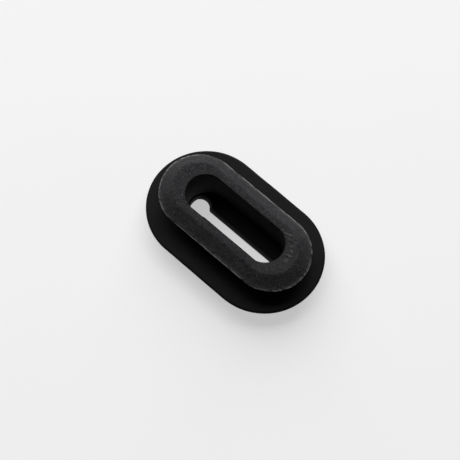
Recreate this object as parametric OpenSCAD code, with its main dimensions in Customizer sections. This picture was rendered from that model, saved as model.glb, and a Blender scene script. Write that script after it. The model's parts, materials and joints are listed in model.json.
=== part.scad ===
// Oval rubber cable grommet, moulded in one piece.
// A domed cap covers the cut-out on the outside of a panel, a neck fills the cut-out, and a
// bevelled lip snaps through to the inside. The cable crosses a thin web with a keyhole in it,
// which flares towards the opening so that the cable finds its way in.
// The origin is the centre of the flat underneath, +X runs along the grommet from the round
// hole to the slot's far end, and +Z points from the cap to the lip.

/* [Panel] */
// Length of the oval cut-out that the neck fills
cutout_l = 20.9; // [18:0.1:32]
// Width of the cut-out, and of the half rounds at its ends
cutout_w = 9.2; // [7.6:0.1:13]
// Thickness of the panel, and of the groove that takes it
panel_t = 3.2; // [1:0.1:5]

/* [Cap] */
// How far the cap reaches past the cut-out, all round
cap_past = 4.55; // [3.6:0.05:7]
// Thickness of the cap, from its flat underneath to the face that seats on the panel
cap_t = 3.5; // [2.8:0.1:4.5]
// Width of the flat underneath, where the domed face begins
base_w = 8.4; // [6:0.2:10]
// Radius that rounds the cap's rim
rim_round = 0.3; // [0.1:0.05:0.6]

/* [Neck] */
// Thickness of the neck's wall, round the opening
neck_wall = 1.6; // [1:0.1:2]

/* [Lip] */
// How far the lip reaches past the cut-out at each end
lip_past_end = 2.7; // [1:0.1:3.4]
// How far the lip reaches past the cut-out on each side
lip_past_side = 1.4; // [1:0.1:2.4]
// Height of the lip above the groove
lip_h = 2.1; // [1.6:0.1:3.5]
// Height of the upright band round the lip's edge
lip_edge = 0.4; // [0.2:0.05:0.8]
// Width of the bevel that leads the lip into the cut-out, seen from above
bevel_w = 1.85; // [1:0.05:2.2]
// Radius that rounds the crease between the bevel and the lip's flat top
crease_round = 0.6; // [0.2:0.05:0.8]

/* [Keyhole] */
// Thickness of the web that the keyhole goes through
web_t = 1.35; // [0.9:0.05:2.6]
// Diameter of the round hole that grips the cable
hole_d = 3; // [2:0.1:3.8]
// Height of the straight wall at the bottom of the round hole, below its flare
hole_land = 0.5; // [0.3:0.05:0.8]
// Gap between the round hole and the opening's end wall
hole_gap = 0.15; // [0.1:0.05:1]
// Width of the slot that the cable is slipped in along
slot_w = 1.1; // [0.4:0.1:1.4]
// Gap between the slot's far end and the opening's other end wall
slot_gap = 0.3; // [0.1:0.1:3]
// Radius that rounds the corners where the slot meets the round hole
corner_round = 0.5; // [0.2:0.05:0.8]
// How far the keyhole flares outwards, all round, from its narrowest to the top of the web
flare = 0.45; // [0.1:0.05:0.6]

/* [Hidden] */
$fn = 96;

// How far a cutting shape runs past the face it cuts
past = 1;

// The cap, the neck and the opening are ovals round the same two centres, this far apart
span = cutout_l - cutout_w;
cap_w = cutout_w + 2 * cap_past;
opening_w = cutout_w - 2 * neck_wall;
opening_l = cutout_l - 2 * neck_wall;

// The lip reaches further at its ends than on its sides, so its own centres lie further apart
lip_w = cutout_w + 2 * lip_past_side;
lip_span = span + 2 * (lip_past_end - lip_past_side);

// Heights of the lip's underside, the lip's sharp edge and the top, above the flat underneath
lip_z = cap_t + panel_t;
edge_z = lip_z + lip_edge;
top_z = lip_z + lip_h;

// The domed face is one arc: level where the flat ends, and reaching the rim below its rounding
dome_out = (cap_w - base_w) / 2;
dome_up = cap_t - rim_round;
dome_r = (dome_out * dome_out + dome_up * dome_up) / (2 * dome_up);

// The crease's arc touches the flat top and the bevel, this far from where the two would meet
bevel_angle = atan2(top_z - edge_z, bevel_w);
crease_back = crease_round * tan(bevel_angle / 2);
crease_r = lip_w / 2 - bevel_w;

// The round hole sits at one end of the opening, and the slot runs to the other end
hole_x = hole_gap + hole_d / 2 - opening_l / 2;
slot_x = opening_l / 2 - slot_gap - slot_w / 2;
corner_y = slot_w / 2 + corner_round;
corner_x = sqrt(pow(hole_d / 2 + corner_round, 2) - corner_y * corner_y);

// Carries a half profile round an oval: half a turn at each end and a straight run on each side
module round_oval(centres_apart) {
    for (end = [-1, 1]) {
        translate([end * centres_apart / 2, 0, 0])
            rotate([0, 0, -90 * end])
                rotate_extrude(angle = 180)
                    children();
        rotate([90, 0, 90 * end])
            linear_extrude(height = centres_apart, center = true)
                children();
    }
}

// Half profile of the cap: flat underneath, domed side, rounded rim and flat seat
module cap_profile() {
    intersection() {
        union() {
            square([cap_w / 2 - rim_round, cap_t]);
            square([cap_w / 2, cap_t - rim_round]);
            translate([cap_w / 2 - rim_round, cap_t - rim_round])
                circle(r = rim_round);
        }
        union() {
            square([base_w / 2, cap_t]);
            translate([base_w / 2, dome_r])
                circle(r = dome_r);
        }
    }
}

// Half profile of the neck
module neck_profile() {
    translate([0, cap_t])
        square([cutout_w / 2, panel_t]);
}

// Half profile of the lip: upright edge band, bevel, rounded crease and flat top
module lip_profile() {
    polygon([
        [0, lip_z],
        [lip_w / 2, lip_z],
        [lip_w / 2, edge_z],
        [crease_r + crease_back * cos(bevel_angle), top_z - crease_back * sin(bevel_angle)],
        [crease_r - crease_back, top_z],
        [0, top_z]
    ]);
    translate([crease_r - crease_back, top_z - crease_round])
        circle(r = crease_round);
}

// Half profile of the opening, from the web up through the lip
module opening_profile() {
    translate([0, web_t])
        square([opening_w / 2, top_z - web_t + past]);
}

// Outline of the keyhole: a round hole that runs through rounded corners into a slot
module keyhole_outline() {
    translate([hole_x, 0]) {
        circle(d = hole_d);
        difference() {
            translate([0, -corner_y])
                square([corner_x, 2 * corner_y]);
            for (side = [-1, 1])
                translate([corner_x, side * corner_y])
                    circle(r = corner_round);
        }
    }
    translate([hole_x, -slot_w / 2])
        square([slot_x - hole_x, slot_w]);
    translate([slot_x, 0])
        circle(d = slot_w);
}

// Half profile of a flare: its wall at first half_w out, leaning outwards from that height up.
// It runs on past the top of the web at the same slope, into the opening.
module flare_profile(half_w, from) {
    lean = flare / (web_t - from);
    polygon([
        [0, -past],
        [half_w, -past],
        [half_w, from],
        [half_w + lean * (web_t + past - from), web_t + past],
        [0, web_t + past]
    ]);
}

// The flared keyhole, kept inside the opening's own walls
module keyhole_flare() {
    intersection() {
        union() {
            translate([hole_x, 0, 0])
                rotate_extrude()
                    flare_profile(hole_d / 2, hole_land);
            translate([slot_x, 0, 0])
                rotate_extrude()
                    flare_profile(slot_w / 2, 0);
            for (side = [0, 1])
                translate([hole_x, 0, 0])
                    mirror([0, side, 0])
                        rotate([90, 0, 90])
                            linear_extrude(height = slot_x - hole_x)
                                flare_profile(slot_w / 2, 0);
        }
        round_oval(span)
            translate([0, -2 * past])
                square([opening_w / 2, web_t + 4 * past]);
    }
}

module grommet() {
    color([0.06, 0.06, 0.065])
        difference() {
            union() {
                round_oval(span)
                    cap_profile();
                round_oval(span)
                    neck_profile();
                round_oval(lip_span)
                    lip_profile();
            }
            round_oval(span)
                opening_profile();
            translate([0, 0, -past])
                linear_extrude(height = web_t + 2 * past)
                    keyhole_outline();
            keyhole_flare();
        }
}

grommet();
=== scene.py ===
# %% [markdown]
# # An oval rubber cable grommet
#
# The object is one moulding in black rubber. A domed cap lies underneath, a bevelled lip stands
# on top, and a deep oval opening ends in a web with a keyhole through it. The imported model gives
# the sizes that matter, so it is loaded first and never changed. Everything that follows gives
# that shape its soft edges, its moulding seam and its finish.

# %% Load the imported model
import json
import math

import bmesh
import bpy
from mathutils import Matrix, Vector, noise
from mathutils.bvhtree import BVHTree


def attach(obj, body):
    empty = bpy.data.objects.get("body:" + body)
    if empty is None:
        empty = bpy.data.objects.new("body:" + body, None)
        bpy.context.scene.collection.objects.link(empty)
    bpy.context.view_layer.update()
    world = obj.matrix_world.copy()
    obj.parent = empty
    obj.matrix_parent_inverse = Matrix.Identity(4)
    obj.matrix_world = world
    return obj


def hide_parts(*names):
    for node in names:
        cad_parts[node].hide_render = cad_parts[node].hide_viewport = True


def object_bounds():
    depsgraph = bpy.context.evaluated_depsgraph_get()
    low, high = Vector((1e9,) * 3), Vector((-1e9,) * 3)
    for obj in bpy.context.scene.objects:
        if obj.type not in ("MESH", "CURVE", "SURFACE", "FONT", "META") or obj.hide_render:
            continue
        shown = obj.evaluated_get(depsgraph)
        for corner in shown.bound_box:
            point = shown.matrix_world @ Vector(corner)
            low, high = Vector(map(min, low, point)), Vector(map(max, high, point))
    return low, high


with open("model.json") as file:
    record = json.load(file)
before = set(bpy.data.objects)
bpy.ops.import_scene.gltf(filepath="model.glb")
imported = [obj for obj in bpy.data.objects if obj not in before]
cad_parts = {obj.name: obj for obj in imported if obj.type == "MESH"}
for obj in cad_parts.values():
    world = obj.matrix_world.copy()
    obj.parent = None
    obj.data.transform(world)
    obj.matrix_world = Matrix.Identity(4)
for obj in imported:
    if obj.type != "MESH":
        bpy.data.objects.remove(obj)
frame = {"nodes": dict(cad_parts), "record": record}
cad_low, cad_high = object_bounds()
MM = 0.001
TINY = 0.0001 * MM

length, width, height = cad_high - cad_low
print(f"packed grommet: {length / MM:.2f} x {width / MM:.2f} x {height / MM:.2f} mm")

# %% [markdown]
# ## The camera
#
# A long lens from a hand's reach away keeps the two ends of so small a thing nearly the same
# size. Angles are measured round the grommet: the azimuth turns the camera round it, and the
# elevation lifts it above the table. An aim point and a distance are easier to think about
# than a location, so the location is worked out from them.

# %% Aim the camera
AZIMUTH = math.radians(41.8)
ELEVATION = math.radians(69.9)
CAMERA_DISTANCE = 250 * MM
LENS_MM = 128
aim = Vector((-1.44, 0.5, 0)) * MM

towards_camera = Vector((
    math.sin(AZIMUTH) * math.cos(ELEVATION),
    -math.cos(AZIMUTH) * math.cos(ELEVATION),
    math.sin(ELEVATION),
))
camera_data = bpy.data.cameras.new("camera")
camera_data.lens = LENS_MM
camera_data.clip_start = 10 * MM
camera = bpy.data.objects.new("camera", camera_data)
camera.location = aim + towards_camera * CAMERA_DISTANCE
camera.rotation_euler = (-towards_camera).to_track_quat("-Z", "Y").to_euler()
bpy.context.scene.collection.objects.link(camera)
bpy.context.scene.camera = camera
print(f"camera {camera.location.length / MM:.0f} mm from the grommet's base")

# %% [markdown]
# ## The sizes
#
# The outline is a family of ovals. Each is two half rounds with straight sides between them, so
# two numbers describe it: its half width, and the distance between the centres of its ends. The
# cap, the neck and the opening share one pair of centres. The lip reaches further at its ends
# than on its sides, so its own centres lie further apart. The keyhole's place comes from the
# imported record, where it is the hole that a cable goes through.

# %% Sizes of the section, half widths first and then heights
record = frame["record"]
cable_hole = next(m for m in record["mounts"] if m["name"] == "cable_hole")

cap_half_w = width / 2
base_half_w = 4.2 * MM
neck_half_w = 4.6 * MM
opening_half_w = 3 * MM
lip_half_w = 6 * MM
bevel_w = 1.85 * MM

cap_top = 3.5 * MM
rim_up = 3.2 * MM
lip_under = 6.7 * MM
seam_up = 7.1 * MM
web_top = 1.35 * MM

half_span = length / 2 - cap_half_w
lip_half_span = 13.15 * MM - lip_half_w
print(f"half rounds {2 * half_span / MM:.1f} mm apart, {2 * lip_half_span / MM:.1f} mm on the lip")

# %% [markdown]
# ## The section
#
# Half of the section is drawn once, standing up in the plane Y = 0, as a chain of edges: from the
# flat underneath, out along the domed face, in over the seat and up the neck, round the lip, and
# down the wall of the opening. The dome is an arc that leaves the flat level, so a spin of one
# vertex draws it.
#
# A mould never makes a knife edge. Rounding the corners while they are still a flat line takes
# one vertex bevel each, and the arcs are then carried round with everything else.

# %% Draw the chain of edges
section = bmesh.new()


def spin_point(bm, start, centre, axis, angle, steps):
    """Turns a vertex round a centre, leaving an arc of edges, and gives the arc's last vertex."""
    arc = bmesh.ops.spin(
        bm, geom=[start], cent=centre, axis=axis, angle=angle, steps=steps, use_duplicate=False
    )
    return next(v for v in arc["geom_last"] if isinstance(v, bmesh.types.BMVert))


DOME_STEPS = 28
dome_out = cap_half_w - base_half_w
dome_r = (dome_out**2 + rim_up**2) / (2 * rim_up)
dome_angle = math.asin(dome_out / dome_r)
dome_start = section.verts.new((base_half_w, 0, 0))
rim = spin_point(
    section, dome_start, (base_half_w, 0, dome_r), (0, 1, 0), -dome_angle, DOME_STEPS
)
print(f"dome of radius {dome_r / MM:.2f} mm ends {rim.co.x / MM:.2f} mm out")

# %% Add the straight parts
SEAM_REACH = 0.1 * MM
SEAM_HALF = 0.035 * MM
crease = lip_half_w - bevel_w

corners = {}
last = rim
for name, out, up in (
    ("rim", cap_half_w, cap_top),
    ("seat", neck_half_w, cap_top),
    ("neck", neck_half_w, lip_under),
    ("lip", lip_half_w, lip_under),
    ("seam_low", lip_half_w, seam_up - SEAM_HALF),
    ("seam", lip_half_w + SEAM_REACH, seam_up),
    ("seam_high", lip_half_w, seam_up + SEAM_HALF),
    ("crease", crease, height),
    ("mouth", opening_half_w, height),
    ("floor", opening_half_w, web_top),
):
    corners[name] = section.verts.new((out, 0, up))
    section.edges.new((last, corners[name]))
    last = corners[name]
print(f"section: {len(section.verts)} vertices before rounding")


# %% Round the corners
def round_corner(bm, corner, radius, steps):
    """Replaces a corner of the chain by an arc that touches both of its edges."""
    a, b = (edge.other_vert(corner).co - corner.co for edge in corner.link_edges)
    setback = radius / math.tan(a.angle(b) / 2)
    bmesh.ops.bevel(
        bm, geom=[corner], affect="VERTICES", offset_type="OFFSET", offset=setback,
        segments=steps, profile=0.5, material=-1,
    )


for name, radius_mm, steps in (
    ("rim", 0.28, 6),
    ("seat", 0.3, 5),
    ("neck", 0.3, 5),
    ("lip", 0.15, 4),
    ("crease", 0.6, 6),
    ("mouth", 0.16, 5),
):
    round_corner(section, corners[name], radius_mm * MM, steps)
print(f"section: {len(section.verts)} vertices after rounding")

# %% [markdown]
# Long flat stretches are cut up too. It keeps the shading of a flat face from being pulled about
# by the arc beside it, and it gives the soft unevenness, later on, something to move.

# %% Cut up the long stretches
RING_GAP = 0.28 * MM
for edge in list(section.edges):
    cuts = int(edge.calc_length() / RING_GAP)
    if cuts:
        bmesh.ops.subdivide_edges(section, edges=[edge], cuts=cuts)
print(f"section: {len(section.verts)} vertices along the line")

# %% [markdown]
# ## Round the oval
#
# Turning the section half way round gives one end. The ring that each vertex makes is then slid
# along X by half of its own span, which parts the lip's centres from the cap's. The two open ends
# of the turn are pulled straight to the middle, and a mirror gives the other half.

# %% Turn one end
HALF_TURN_STEPS = 108
bmesh.ops.rotate(section, verts=section.verts, matrix=Matrix.Rotation(-math.pi / 2, 3, "Z"))
bmesh.ops.spin(
    section, geom=section.verts[:] + section.edges[:], cent=(0, 0, 0), axis=(0, 0, 1),
    angle=math.pi, steps=HALF_TURN_STEPS, use_duplicate=False,
)
open_ends = [e for e in section.edges if all(abs(v.co.x) < TINY for v in e.verts)]
print(f"half turn: {len(section.faces)} faces, {len(open_ends)} open edges")


# %% Slide the rings, pull the sides straight and mirror
CORNER_ROOM = 0.5 * MM


def on_lip(out, up):
    """True for the underside, edge, bevel and flat top of the lip, but not for the opening."""
    inner = (opening_half_w if up > seam_up else neck_half_w) + CORNER_ROOM
    return up > lip_under - TINY and out > inner


for vert in section.verts:
    out = math.hypot(vert.co.x, vert.co.y)
    vert.co.x += lip_half_span if on_lip(out, vert.co.z) else half_span

STRAIGHT_CUTS = 23
pulled = bmesh.ops.extrude_edge_only(section, edges=open_ends)["geom"]
for vert in (g for g in pulled if isinstance(g, bmesh.types.BMVert)):
    vert.co.x = 0
straights = [
    e for e in section.edges
    if min(v.co.x for v in e.verts) < TINY < max(v.co.x for v in e.verts)
]
bmesh.ops.subdivide_edges(section, edges=straights, cuts=STRAIGHT_CUTS, use_grid_fill=True)
bmesh.ops.mirror(
    section, geom=section.verts[:] + section.edges[:] + section.faces[:],
    matrix=Matrix.Identity(4), merge_dist=TINY, axis="X",
)
print(f"oval: {len(section.faces)} faces")

# %% [markdown]
# ## The keyhole
#
# The keyhole is a straight slot and a round hole at the underside, and both flare as they rise, so
# that a cable pushed into the opening slides to the hole. Its outline is walked, not plotted: round
# the hole, back round the corner, along the slot and round its far end. A walk over one half and a
# mirror give the whole. The same walk, grown a little, gives the outline at a greater height, and
# as each walk takes the same number of steps, the loops bridge into clean quads.

# %% Walk the outline
hole_r = cable_hole["dims"]["r_mm"] * MM
hole_land = cable_hole["dims"]["length_mm"] * MM
hole_x = cable_hole["pos_m"][0]
slot_half_w = 0.55 * MM
slot_gap = 0.3 * MM
slot_x = half_span + opening_half_w - slot_gap - slot_half_w
flare = 0.45 * MM
UP = Vector((0, 0, 1))
HOLE_STEPS, CORNER_STEPS, SLOT_STEPS, END_STEPS = 40, 8, 30, 10


def walk_keyhole(bm, up, r, half_w, corner_r):
    """Draws the keyhole's outline at one height, and gives its edges."""
    before = set(bm.edges)
    hole = Vector((hole_x, 0, up))
    reach = math.sqrt((r + corner_r) ** 2 - (half_w + corner_r) ** 2)
    corner = hole + Vector((reach, half_w + corner_r, 0))
    mouth = math.asin((half_w + corner_r) / (r + corner_r))

    at = bm.verts.new(hole - Vector((r, 0, 0)))
    at = spin_point(bm, at, hole, UP, mouth - math.pi, HOLE_STEPS)
    at = spin_point(bm, at, corner, UP, math.pi / 2 - mouth, CORNER_STEPS)
    for step in range(1, SLOT_STEPS + 1):
        along = corner.x + (slot_x - corner.x) * step / SLOT_STEPS
        following = bm.verts.new((along, half_w, up))
        bm.edges.new((at, following))
        at = following
    spin_point(bm, at, Vector((slot_x, 0, up)), UP, -math.pi / 2, END_STEPS)
    half = [e for e in bm.edges if e not in before]
    bmesh.ops.mirror(
        bm, geom=half + list({v for e in half for v in e.verts}),
        matrix=Matrix.Identity(4), merge_dist=TINY, axis="Y",
    )
    return [e for e in bm.edges if e not in before]


# %% [markdown]
# The rims of the keyhole are rounded with an edge bevel, which needs quads on both sides. So the
# outline is walked a little too wide and closed with a face, the face is inset to the true size
# and thrown away, and a narrow collar is left round the hole. Where the flare would run into the
# opening's end wall, the outline is held back to leave the collar room.

# %% Make the collars
WALL_ROOM = 0.04 * MM


def keyhole_collar(bm, up, r, half_w, corner_r, band):
    """Makes a flat collar of that width round the keyhole, and gives its inner loop."""
    outer = walk_keyhole(bm, up, r + band, half_w + band, corner_r - band)
    for vert in {v for e in outer for v in e.verts}:
        end = Vector((math.copysign(half_span, vert.co.x), 0, up))
        out = vert.co - end
        most = opening_half_w - WALL_ROOM
        if abs(vert.co.x) > half_span and out.length > most:
            vert.co = end + out.normalized() * most
    plug = bmesh.ops.edgeloop_fill(bm, edges=outer)["faces"]
    bmesh.ops.inset_region(
        bm, faces=plug, thickness=band, use_boundary=True, use_even_offset=True
    )
    inner = list(plug[0].edges)
    bmesh.ops.delete(bm, geom=plug, context="FACES_ONLY")
    return inner


TOP_ROUND = 0.09 * MM
UNDER_ROUND = 0.22 * MM
SUPPORT = 0.03 * MM
top_rim = keyhole_collar(
    section, web_top, hole_r + flare, slot_half_w + flare, 0.32 * MM, TOP_ROUND + SUPPORT
)
land_rim = walk_keyhole(
    section, hole_land, hole_r, slot_half_w + flare * hole_land / web_top, 0.42 * MM
)
under_rim = keyhole_collar(section, 0, hole_r, slot_half_w, 0.5 * MM, UNDER_ROUND + SUPPORT)
print(f"keyhole: {len(top_rim)} edges round the top, {len(under_rim)} underneath")


# %% Close the web and the underneath
def loop_at(bm, up):
    """The open edges at one height."""
    return [e for e in bm.edges if e.is_boundary and all(abs(v.co.z - up) < TINY for v in e.verts)]


bmesh.ops.bridge_loops(section, edges=under_rim + land_rim)
bmesh.ops.bridge_loops(section, edges=land_rim + top_rim)
for up in (web_top, 0):
    bmesh.ops.triangle_fill(section, edges=loop_at(section, up), use_beauty=True, normal=UP)
bmesh.ops.recalc_face_normals(section, faces=section.faces)
for rim_edges, radius, steps in ((top_rim, TOP_ROUND, 4), (under_rim, UNDER_ROUND, 6)):
    bmesh.ops.bevel(
        section, geom=rim_edges, affect="EDGES", offset=radius, segments=steps, profile=0.5,
        material=-1,
    )
loose = sum(not e.is_manifold for e in section.edges)
euler = len(section.verts) - len(section.edges) + len(section.faces)
print(f"closed: {len(section.faces)} faces, {loose} open edges, Euler number {euler}")
print(f"volume {section.calc_volume() / MM**3:.0f} mm3")

# %% [markdown]
# ## Moulding marks
#
# Many such mouldings carry a few raised marks on the lip, left by the mould. Here they are a plain
# row of short dashes that says nothing. The mesh is too coarse there for marks a fifth of a
# millimetre wide, so only that patch is cut finer, and the marks are raised from its vertices.

# %% Raise the marks
MARK_HEIGHT = 0.07 * MM
MARK_SOFT = 0.09 * MM
MARK_CUTS = 3
marks = [
    (math.radians(turn), out * MM, math.radians(lean), half_length * MM, half_thick * MM)
    for turn, out, lean, half_length, half_thick in (
        (70, 3.55, 55, 0.22, 0.07), (60, 3.85, -35, 0.28, 0.07), (50, 3.7, 80, 0.16, 0.08),
        (42, 4.25, -20, 0.34, 0.07), (34, 4.0, 25, 0.38, 0.07), (22, 4.2, -40, 0.2, 0.08),
        (12, 4.1, 10, 0.36, 0.07), (0, 4.15, 70, 0.2, 0.08),
    )
]


def mark_height(spot):
    """The height of the marks over a spot on the lip's flat top, from 0 to 1."""
    highest = 0
    for turn, out, lean, half_length, half_thick in marks:
        middle = Vector((half_span + out * math.cos(turn), out * math.sin(turn)))
        away = Matrix.Rotation(-turn - lean, 2) @ (spot.to_2d() - middle)
        past = math.hypot(max(abs(away.x) - half_length, 0), away.y) - half_thick
        highest = max(highest, 1 - max(past, 0) / MARK_SOFT)
    return highest * highest * (3 - 2 * highest)


TOP_ROOM = 0.12 * MM
PATCH_LOW = Vector((half_span - 0.3 * MM, -1.2 * MM))


def on_patch(face):
    """True for the faces of the lip's flat top that the marks lie on."""
    middle = face.calc_center_median()
    level = face.normal.z > 0.9 and middle.z > height - TOP_ROOM
    return level and middle.x > PATCH_LOW.x and middle.y > PATCH_LOW.y


patch = [f for f in section.faces if on_patch(f)]
bmesh.ops.subdivide_edges(
    section, edges=list({e for f in patch for e in f.edges}), cuts=MARK_CUTS, use_grid_fill=True
)
raised = 0
for vert in section.verts:
    if vert.co.z > height - TOP_ROOM and vert.co.x > half_span:
        lift = mark_height(vert.co)
        vert.co.z += lift * MARK_HEIGHT
        raised += lift > 0.5
print(f"marks: {len(patch)} faces cut finer, {raised} vertices raised")

# %% [markdown]
# ## A moulding that isn't perfect
#
# Rubber comes off the mould slightly uneven, and its seam, a thin fin where the two mould halves
# met, is trimmed by hand, so it is deeper in some places than in others. Noise moves each vertex a
# few hundredths of a millimetre along its normal, and another varies the fin. Two nicks from the
# trimming are made the same way, as short stretches where the fin stands out further.

# %% Make it uneven
UNEVEN = 0.03 * MM
UNEVEN_SCALE = 1 / (3.5 * MM)
FIN_SCALE = 1 / (1.5 * MM)
FIN_CHANGE = 0.04 * MM
FLAT_ROOM = 0.4 * MM
nicks = [
    (Vector((13.0, -1.75)) * MM, 0.9 * MM, 0.12 * MM),
    (Vector((-7.2, -6.08)) * MM, 0.3 * MM, 0.1 * MM),
]


def outward(co, centre_x):
    """How far out from an oval's middle line a point is, and which way is out."""
    reach = Vector((co.x - max(-centre_x, min(centre_x, co.x)), co.y))
    return reach.length, reach.normalized()


def nearness(co, spot, size):
    """1 at a spot on the fin, fading to 0 a little further away than its size."""
    away = (co.to_2d() - spot).length / size
    return math.exp(-away * away)


section.normal_update()
moved = []
for vert in section.verts:
    settled = max(0.0, min(1.0, vert.co.z / FLAT_ROOM))
    shift = vert.normal * noise.noise(vert.co * UNEVEN_SCALE) * UNEVEN * settled
    out, way = outward(vert.co, lip_half_span)
    if abs(vert.co.z - seam_up) < SEAM_HALF / 2 and out > lip_half_w + SEAM_REACH / 2:
        reach = noise.noise(vert.co * FIN_SCALE) * FIN_CHANGE
        for spot, size, depth in nicks:
            reach += depth * nearness(vert.co, spot, size)
        shift += way.to_3d() * reach
    moved.append((vert, shift))
for vert, shift in moved:
    vert.co += shift
loose = sum(not e.is_manifold for e in section.edges)
print(f"uneven by up to {max(s.length for _, s in moved) / MM:.2f} mm, {loose} open edges")

# %% [markdown]
# Standing things rest on a flat underneath, so nothing there may dip below zero, and the whole has
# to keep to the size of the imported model. The measure is taken here, before the mesh is handed on.

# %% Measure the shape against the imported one
packed = BVHTree.FromObject(frame["nodes"]["grommet"], bpy.context.evaluated_depsgraph_get())
gaps = sorted(packed.find_nearest(v.co)[3] for v in section.verts)
usual_gap, largest_gap = gaps[len(gaps) // 2] / MM, gaps[-1] / MM
print(f"from the packed surface: middle {usual_gap:.3f} mm, most {largest_gap:.3f} mm")

# %% [markdown]
# ## Where each finish and painted light lies
#
# The lip is greyer than the rest, as if dusted: a bloom that rubber grows where air and hands get
# at it. The fin is painted pale, partly as scuffing and partly as a painted highlight along the
# seam and at the nicks. The marks are scuffed a little, and the lip is painted a little paler
# towards its outer edge. The wall of the opening is dull, and it and the web are painted a paler
# grey, which is painted light for the light that reaches into the recess. All three follow the
# shape, so they are worked out from it and kept on the vertices as values, which the material reads.

# %% Make the object and mark its finishes
BLOOM_EDGE = 0.16 * MM
SKIN = 0.02 * MM
BLOOM_FADE = 0.1 * MM
FIN_ROOT, FIN_TIP = 0.01 * MM, 0.05 * MM
FIN_ROOM = 0.06 * MM
# The fin's pale paint is partly scuffing and partly a painted highlight along the seam and at the
# nicks.
FIN_SCUFF_AND_HIGHLIGHT, TIP_SCUFF_AND_HIGHLIGHT, NICK_SCUFF_AND_HIGHLIGHT = 0.3, 0.5, 0.2
WALL_NEAR, WALL_FAR = 0.05 * MM, 0.15 * MM
WALL_FOOT = 0.2 * MM
MARK_SCUFF = 0.13
# How much paler the lip is painted towards its outer edge.
EDGE_PALING = 0.07
EDGE_REACH = 0.6 * MM


def ramp(value, low, high):
    """Rises smoothly from 0 at low to 1 at high."""
    t = max(0.0, min(1.0, (value - low) / (high - low)))
    return t * t * (3 - 2 * t)


mesh = bpy.data.meshes.new("moulded_grommet")
section.to_mesh(mesh)
section.free()
bloom = mesh.attributes.new("bloom", "FLOAT", "POINT")
scuff_and_highlight = mesh.attributes.new("scuff_and_highlight", "FLOAT", "POINT")
inside = mesh.attributes.new("inside", "FLOAT", "POINT")
for vert in mesh.vertices:
    lip_out, _ = outward(vert.co, lip_half_span)
    mouth_out, _ = outward(vert.co, half_span)
    above = ramp(vert.co.z, seam_up - BLOOM_FADE, seam_up + SKIN)
    outside = ramp(mouth_out, opening_half_w - SKIN, opening_half_w + BLOOM_EDGE)
    bloom.data[vert.index].value = above * outside
    # Pale paint on the fin: partly scuffing, partly a painted highlight, brightest at the tip and
    # the nicks.
    fin = FIN_SCUFF_AND_HIGHLIGHT + TIP_SCUFF_AND_HIGHLIGHT * ramp(lip_out, lip_half_w + FIN_ROOT, lip_half_w + FIN_TIP)
    fin += NICK_SCUFF_AND_HIGHLIGHT * max(nearness(vert.co, spot, size) for spot, size, _ in nicks)
    on_fin = abs(vert.co.z - seam_up) < 1.3 * SEAM_HALF and lip_out > lip_half_w - FIN_ROOM
    on_mark = vert.co.z > height + 0.4 * MARK_HEIGHT and vert.co.x > half_span
    # The lip is painted a little paler towards its outer edge.
    paler_to_edge = EDGE_PALING * above * ramp(lip_out, lip_half_w - EDGE_REACH, lip_half_w)
    scuff_and_highlight.data[vert.index].value = fin if on_fin else MARK_SCUFF * on_mark + paler_to_edge
    # Inside the opening the rubber is rougher, and it is painted a paler grey as painted light for
    # the light reaching into the recess.
    in_opening = 1 - ramp(mouth_out, opening_half_w + WALL_NEAR, opening_half_w + WALL_FAR)
    inside.data[vert.index].value = in_opening * (vert.co.z > web_top - WALL_FOOT)
grommet = bpy.data.objects.new("moulded_grommet", mesh)
bpy.context.scene.collection.objects.link(grommet)
mesh.shade_smooth()
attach(grommet, "root")
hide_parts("grommet")
print(f"{len(mesh.polygons)} faces, {sum(len(p.vertices) - 2 for p in mesh.polygons)} triangles")

# %% [markdown]
# ## Writing shader maths as sums
#
# A material is a graph of small steps. Wrapping a socket in a class lets Python's own operators add
# the Math nodes, so a mask reads as a sum instead of a page of links.

# %% A socket that can be added and multiplied
class Shade:
    """A value or colour in a material, which operators and node() build on."""

    def __init__(self, tree, socket):
        self.tree = tree
        self.socket = socket

    def node(self, kind, settings=None, output=0, **sockets):
        """Adds a node: its settings first, then values or links for its sockets."""
        node = self.tree.nodes.new(kind)
        for key, value in (settings or {}).items():
            setattr(node, key, value)
        for key, value in sockets.items():
            where = int(key[1:]) if key[0] == "i" and key[1:].isdigit() else key.replace("_", " ")
            if isinstance(value, Shade):
                self.tree.links.new(value.socket, node.inputs[where])
            else:
                node.inputs[where].default_value = value
        return Shade(self.tree, node.outputs[output])

    def maths(self, operation, a, b):
        return self.node("ShaderNodeMath", {"operation": operation}, i0=a, i1=b)

    def __add__(self, other):
        return self.maths("ADD", self, other)

    __radd__ = __add__

    def __mul__(self, other):
        return self.maths("MULTIPLY", self, other)

    __rmul__ = __mul__

    def __sub__(self, other):
        return self.maths("SUBTRACT", self, other)

    def __rsub__(self, other):
        return self.maths("SUBTRACT", other, self)

    def between(self, low, high):
        """0 below low, 1 above high, and a smooth rise between."""
        return self.node(
            "ShaderNodeMapRange", {"interpolation_type": "SMOOTHSTEP"},
            Value=self, From_Min=low, From_Max=high,
        )

    def mix(self, a, b):
        """Colour a where this value is 0 and colour b where it is 1."""
        return self.node(
            "ShaderNodeMix", {"data_type": "RGBA"}, output=2, i0=self, i6=a, i7=b
        )

    def noise(self, scale, detail=2.0, roughness=0.5):
        """Noise in the object's own space, from 0 to 1, whose grains are 1 / scale metres."""
        return self.node(
            "ShaderNodeTexNoise", Vector=self, Scale=scale, Detail=detail, Roughness=roughness
        )


def new_material(name):
    """Gives an empty material, its shader and a starting point in the object's space."""
    material = bpy.data.materials.new(name)
    material.use_nodes = True
    tree = material.node_tree
    shader = next(n for n in tree.nodes if n.type == "BSDF_PRINCIPLED")
    place = Shade(tree, tree.nodes.new("ShaderNodeTexCoord").outputs["Object"])
    return material, tree, shader, place


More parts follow.
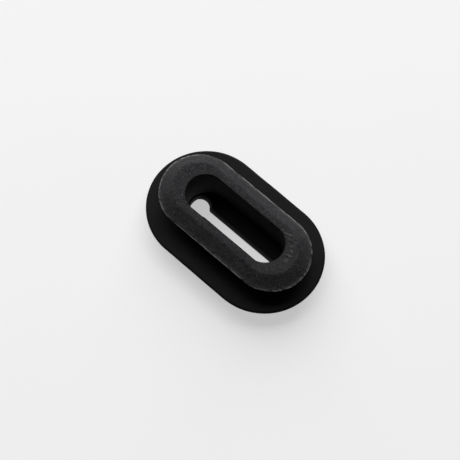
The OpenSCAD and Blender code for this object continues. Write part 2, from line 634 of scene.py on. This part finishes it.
# %% [markdown]
# ## Black rubber
#
# Black rubber isn't one black. Under the lip it is as the mould left it, smooth and deep. In the
# opening it is duller, and a paler grey is painted there as painted light for the light that reaches
# into the recess. On the lip it is greyer, mottled, grained in specks of a quarter of a millimetre,
# and flecked with dust. The fin's pale paint is partly scuffing and partly a painted highlight. The
# values on the vertices pick between these. The same noises move the roughness and, through a bump,
# the surface.

# %% The rubber
DEEP, DEEP_GREY = (0.0038, 0.0037, 0.0047, 1), (0.0074, 0.0071, 0.0088, 1)
BLOOM_DARK, BLOOM_GREY = (0.011, 0.0107, 0.0135, 1), (0.0555, 0.0548, 0.0575, 1)
# Painted light: a paler grey for the opening's walls and web, for the light that reaches into the
# recess.
RECESS_PAINTED_LIGHT = (0.011, 0.0108, 0.0118, 1)
DUST = (0.19, 0.187, 0.184, 1)
# The pale colour of the fin: partly scuffing, partly a painted highlight along the seam.
SCUFF_AND_HIGHLIGHT = (0.5, 0.496, 0.49, 1)

rubber, tree, shader, place = new_material("black_rubber")
shader.inputs["Specular IOR Level"].default_value = 0.11
bloom_value = place.node("ShaderNodeAttribute", {"attribute_name": "bloom"}, output=2)
scuff_and_highlight_value = place.node("ShaderNodeAttribute", {"attribute_name": "scuff_and_highlight"}, output=2)
inside_value = place.node("ShaderNodeAttribute", {"attribute_name": "inside"}, output=2)
mottle = place.noise(420, 3.0)
patches = place.noise(1500, 3.0, 0.6)
grain = place.noise(4300, 3.0, 0.6)
flecks = place.noise(4600, 1.0).between(0.68, 0.73)
streaks = place.node(
    "ShaderNodeMapping", {"vector_type": "POINT"}, Vector=place, Scale=(0.25, 1.0, 1.0)
).noise(2600, 2.0)

greyness = mottle.between(0.25, 0.75) * 0.2 + patches.between(0.32, 0.68) * 0.3
greyness = greyness + grain.between(0.38, 0.62) * 0.5
bloomed = greyness.mix(BLOOM_DARK, BLOOM_GREY)
deep = (patches * 0.5 + grain * 0.5).between(0.35, 0.7).mix(DEEP, DEEP_GREY)
# Painted light: the opening's walls and web turn a paler grey.
deep = (inside_value * 0.8).mix(deep, RECESS_PAINTED_LIGHT)
surface = bloom_value.mix(deep, bloomed)
surface = (flecks * (bloom_value * 0.45 + 0.04)).mix(surface, DUST)
# Pale paint on the fin and marks, partly scuffing and partly a painted highlight along the seam.
surface = (scuff_and_highlight_value * streaks.between(0.3, 0.6)).mix(surface, SCUFF_AND_HIGHLIGHT)
tree.links.new(surface.socket, shader.inputs["Base Color"])

rough = bloom_value * 0.12 + 0.5 + (grain - 0.5) * 0.2 + (mottle - 0.5) * 0.12
rough = rough + inside_value * 0.2
tree.links.new(rough.socket, shader.inputs["Roughness"])
relief = (grain * 0.6 + patches * 0.4) * (bloom_value * 0.5 + 0.5)
bump = place.node(
    "ShaderNodeBump", Height=relief, Strength=0.55, Distance=0.03 * MM
)
tree.links.new(bump.socket, shader.inputs["Normal"])
mesh.materials.append(rubber)
print(f"rubber: {len(tree.nodes)} nodes")

# %% [markdown]
# ## The table and the light
#
# The table is a sheet of white plastic with a little light of its own, as over a light box. It
# keeps the shadow round the grommet thin and the keyhole bright. A wide soft lamp stands low
# behind the grommet, so that the far bevel catches it and the near one doesn't, and a dim white
# room fills the rest. The sheet lies a hair lower than the grommet, so that the two flat faces
# don't share a plane.

# %% The table
FLOOR_REACH = 1.5
FLOOR_DROP = 0.02 * MM
floor_mesh = bpy.data.meshes.new("floor")
bm = bmesh.new()
bmesh.ops.create_grid(bm, x_segments=1, y_segments=1, size=FLOOR_REACH)
bmesh.ops.translate(bm, verts=bm.verts, vec=(0, 0, -FLOOR_DROP))
bm.to_mesh(floor_mesh)
bm.free()
floor = bpy.data.objects.new("floor", floor_mesh)
bpy.context.scene.collection.objects.link(floor)
white_sheet, tree, shader, place = new_material("white_sheet")
tone = place.noise(60, 2.0).mix((0.63, 0.63, 0.63, 1), (0.65, 0.65, 0.65, 1))
tree.links.new(tone.socket, shader.inputs["Base Color"])
shader.inputs["Roughness"].default_value = 0.9
shader.inputs["Specular IOR Level"].default_value = 0.1
shader.inputs["Emission Color"].default_value = (1, 1, 1, 1)
shader.inputs["Emission Strength"].default_value = 0.5
floor_mesh.materials.append(white_sheet)

# %% The light
ROOM_LIGHT = 0.045
LAMP_DISTANCE = 0.6
LAMP_SIZE = 0.9
LAMP_ENERGY = 5.0
LAMP_TURN = AZIMUTH + math.radians(4)
LAMP_RISE = math.radians(42)

world = bpy.data.worlds.new("studio")
world.use_nodes = True
background = world.node_tree.nodes["Background"]
background.inputs["Color"].default_value = (1, 1, 1, 1)
background.inputs["Strength"].default_value = ROOM_LIGHT
bpy.context.scene.world = world
bpy.context.scene.view_settings.view_transform = "Standard"

towards_lamp = Vector((
    -math.sin(LAMP_TURN) * math.cos(LAMP_RISE),
    math.cos(LAMP_TURN) * math.cos(LAMP_RISE),
    math.sin(LAMP_RISE),
))
lamp_data = bpy.data.lights.new("soft_lamp", "AREA")
lamp_data.energy = LAMP_ENERGY
lamp_data.size = LAMP_SIZE
lamp = bpy.data.objects.new("soft_lamp", lamp_data)
lamp.location = towards_lamp * LAMP_DISTANCE
lamp.rotation_euler = towards_lamp.to_track_quat("Z", "Y").to_euler()
bpy.context.scene.collection.objects.link(lamp)
print(f"lamp {LAMP_DISTANCE} m away, {math.degrees(LAMP_RISE):.0f} degrees up")
